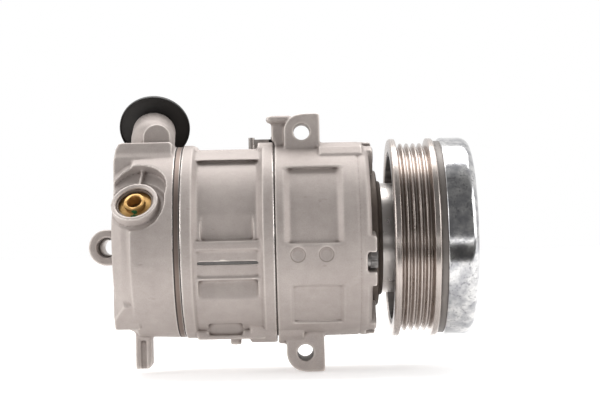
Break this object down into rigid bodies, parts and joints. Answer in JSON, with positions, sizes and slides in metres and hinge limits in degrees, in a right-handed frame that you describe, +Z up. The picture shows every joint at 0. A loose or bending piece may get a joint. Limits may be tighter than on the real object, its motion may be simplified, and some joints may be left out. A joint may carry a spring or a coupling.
{
  "type": "automotive air conditioning compressor",
  "caption": "Belt-driven swash plate compressor for car air conditioning, with a grooved pulley and clutch, cast housings, mounting ears and capped ports.",
  "frame": {"origin": "on the shaft axis, at the middle of the belt grooves", "axes": "+X along the shaft towards the clutch, +Z up, +Y to the side with the two ports"},
  "size_m": [0.2106, 0.117, 0.1554],
  "materials": {
    "cast_aluminium": "bead-blasted die casting",
    "machined_aluminium": "fine turned",
    "pulley_steel": "turned and bright",
    "zinc_steel": "mottled zinc plate",
    "dark_steel": "dark coated, semi-matt",
    "bearing_steel": "ground",
    "bolt_steel": "plated, dark",
    "spring_steel": "satin",
    "gasket_coat": "matt coated sheet",
    "plate_steel": "brownish ground plate",
    "valve_brass": "turned, dull",
    "black_rubber": "soft matt",
    "black_cap": "soft sheen",
    "copper_wire": "varnished",
    "piston_aluminium": "coated, fine turned",
    "swash_iron": "ground faces"
  },
  "bodies": {
    "housing": {"front_housing": "cast_aluminium", "housing_gasket": "gasket_coat", "cylinder_block": "cast_aluminium", "block_gasket": "gasket_coat", "suction_reeds": "spring_steel", "valve_plate": "plate_steel", "discharge_reeds": "spring_steel", "reed_retainer": "bolt_steel", "cover_gasket": "gasket_coat", "rear_cover": "cast_aluminium", "through_bolts": "bolt_steel", "bolt_washers": "bolt_steel", "dowel_pins": "bearing_steel", "dust_plate": "dark_steel", "front_needle_bearing": "bearing_steel", "shaft_seal": "black_rubber", "nose_circlips": "spring_steel", "thrust_bearing": "bearing_steel", "rear_needle_bearing": "bearing_steel", "bearing_inner_race": "bearing_steel", "coil_shell": "dark_steel", "coil_winding": "copper_wire", "rear_ear_bush": "machined_aluminium", "harness_clip": "bolt_steel", "relief_valve": "valve_brass", "control_valve_body": "valve_brass", "control_valve_rings": "black_rubber", "control_valve_circlip": "dark_steel"},
    "pulley": {"grooved_pulley": "pulley_steel", "rotor_drum": "dark_steel", "friction_ring": "zinc_steel", "bearing_outer_race": "bearing_steel", "bearing_balls": "bearing_steel"},
    "shaft": {"drive_shaft": "bearing_steel", "lug_plate": "swash_iron", "hinge_pin": "bearing_steel", "return_spring": "spring_steel", "start_spring": "spring_steel", "spring_clip": "spring_steel", "hub_plate": "zinc_steel", "hub_shims": "spring_steel", "hub_bolt": "bolt_steel", "hub_rivets": "bolt_steel"},
    "armature": {"armature": "zinc_steel", "leaf_springs": "spring_steel", "armature_rivets": "bolt_steel"},
    "swash": {"swash_plate": "swash_iron"},
    "valve_rod": {"control_valve_rod": "bearing_steel"},
    "inlet_cap": {"suction_cap": "black_cap"},
    "outlet_cap": {"discharge_cap": "black_cap"},
    "piston_1": {"piston_1": "piston_aluminium"},
    "shoes_1": {"shoes_1": "bearing_steel"},
    "piston_2": {"piston_2": "piston_aluminium"},
    "shoes_2": {"shoes_2": "bearing_steel"},
    "piston_3": {"piston_3": "piston_aluminium"},
    "shoes_3": {"shoes_3": "bearing_steel"},
    "piston_4": {"piston_4": "piston_aluminium"},
    "shoes_4": {"shoes_4": "bearing_steel"},
    "piston_5": {"piston_5": "piston_aluminium"},
    "shoes_5": {"shoes_5": "bearing_steel"}
  },
  "joints": [
    {"name": "pulley_spin", "type": "hinge", "parent": "housing", "child": "pulley", "pos_m": [0, 0, 0], "axis": [1, 0, 0], "continuous": true},
    {"name": "shaft_spin", "type": "hinge", "parent": "housing", "child": "shaft", "pos_m": [0, 0, 0], "axis": [1, 0, 0], "range_deg": [0, 360]},
    {"name": "armature_pull", "type": "slide", "parent": "shaft", "child": "armature", "axis": [-1, 0, 0], "range_m": [0, 0.0005], "stiffness_N_per_m": 5000},
    {"name": "swash_tilt", "type": "hinge", "parent": "shaft", "child": "swash", "pos_m": [-0.06811, 0, 0.018], "axis": [0, -1, 0], "range_deg": [0, 17], "stiffness_Nm_per_rad": 0.4, "springref_deg": -8.59},
    {"name": "valve_rod_lift", "type": "slide", "parent": "housing", "child": "valve_rod", "axis": [-0.1462, -0.752, 0.6428], "range_m": [0, 0.0008], "stiffness_N_per_m": 300},
    {"name": "inlet_cap_pull", "type": "slide", "parent": "housing", "child": "inlet_cap", "axis": [0, 0.848, 0.5299], "range_m": [0, 0.03]},
    {"name": "outlet_cap_pull", "type": "slide", "parent": "housing", "child": "outlet_cap", "axis": [0, 1, 0], "range_m": [0, 0.03]},
    {"name": "piston_1_stroke", "type": "slide", "parent": "housing", "child": "piston_1", "axis": [1, 0, 0], "range_m": [-0.0005, 0.0009]},
    {"name": "shoes_1_tilt", "type": "hinge", "parent": "piston_1", "child": "shoes_1", "pos_m": [-0.0708, -0.02629, 0.01643], "axis": [0, -1, 0], "range_deg": [-0.5, 17.5]},
    {"name": "piston_2_stroke", "type": "slide", "parent": "housing", "child": "piston_2", "axis": [1, 0, 0], "range_m": [-0.0005, 0.0119]},
    {"name": "shoes_2_tilt", "type": "hinge", "parent": "piston_2", "child": "shoes_2", "pos_m": [-0.0708, -0.02375, -0.01993], "axis": [0, -1, 0], "range_deg": [-0.5, 17.5]},
    {"name": "piston_3_stroke", "type": "slide", "parent": "housing", "child": "piston_3", "axis": [1, 0, 0], "range_m": [-0.0005, 0.0146]},
    {"name": "shoes_3_tilt", "type": "hinge", "parent": "piston_3", "child": "shoes_3", "pos_m": [-0.0708, 0.01161, -0.02874], "axis": [0, -1, 0], "range_deg": [-0.5, 17.5]},
    {"name": "piston_4_stroke", "type": "slide", "parent": "housing", "child": "piston_4", "axis": [1, 0, 0], "range_m": [-0.0005, 0.0052]},
    {"name": "shoes_4_tilt", "type": "hinge", "parent": "piston_4", "child": "shoes_4", "pos_m": [-0.0708, 0.03092, 0.00216], "axis": [0, -1, 0], "range_deg": [-0.5, 17.5]},
    {"name": "piston_5_stroke", "type": "slide", "parent": "housing", "child": "piston_5", "axis": [1, 0, 0], "range_m": [-0.0043, 0.0005]},
    {"name": "shoes_5_tilt", "type": "hinge", "parent": "piston_5", "child": "shoes_5", "pos_m": [-0.0708, 0.0075, 0.03008], "axis": [0, -1, 0], "range_deg": [-0.5, 17.5]}
  ],
  "couplings": [
    {"joint": "piston_1_stroke", "follows": "swash_tilt", "m_per_rad": 0.00126},
    {"joint": "shoes_1_tilt", "follows": "swash_tilt", "ratio": 1},
    {"joint": "piston_2_stroke", "follows": "swash_tilt", "m_per_rad": 0.03845},
    {"joint": "shoes_2_tilt", "follows": "swash_tilt", "ratio": 1},
    {"joint": "piston_3_stroke", "follows": "swash_tilt", "m_per_rad": 0.04746},
    {"joint": "shoes_3_tilt", "follows": "swash_tilt", "ratio": 1},
    {"joint": "piston_4_stroke", "follows": "swash_tilt", "m_per_rad": 0.01585},
    {"joint": "shoes_4_tilt", "follows": "swash_tilt", "ratio": 1},
    {"joint": "piston_5_stroke", "follows": "swash_tilt", "m_per_rad": -0.0127},
    {"joint": "shoes_5_tilt", "follows": "swash_tilt", "ratio": 1}
  ]
}
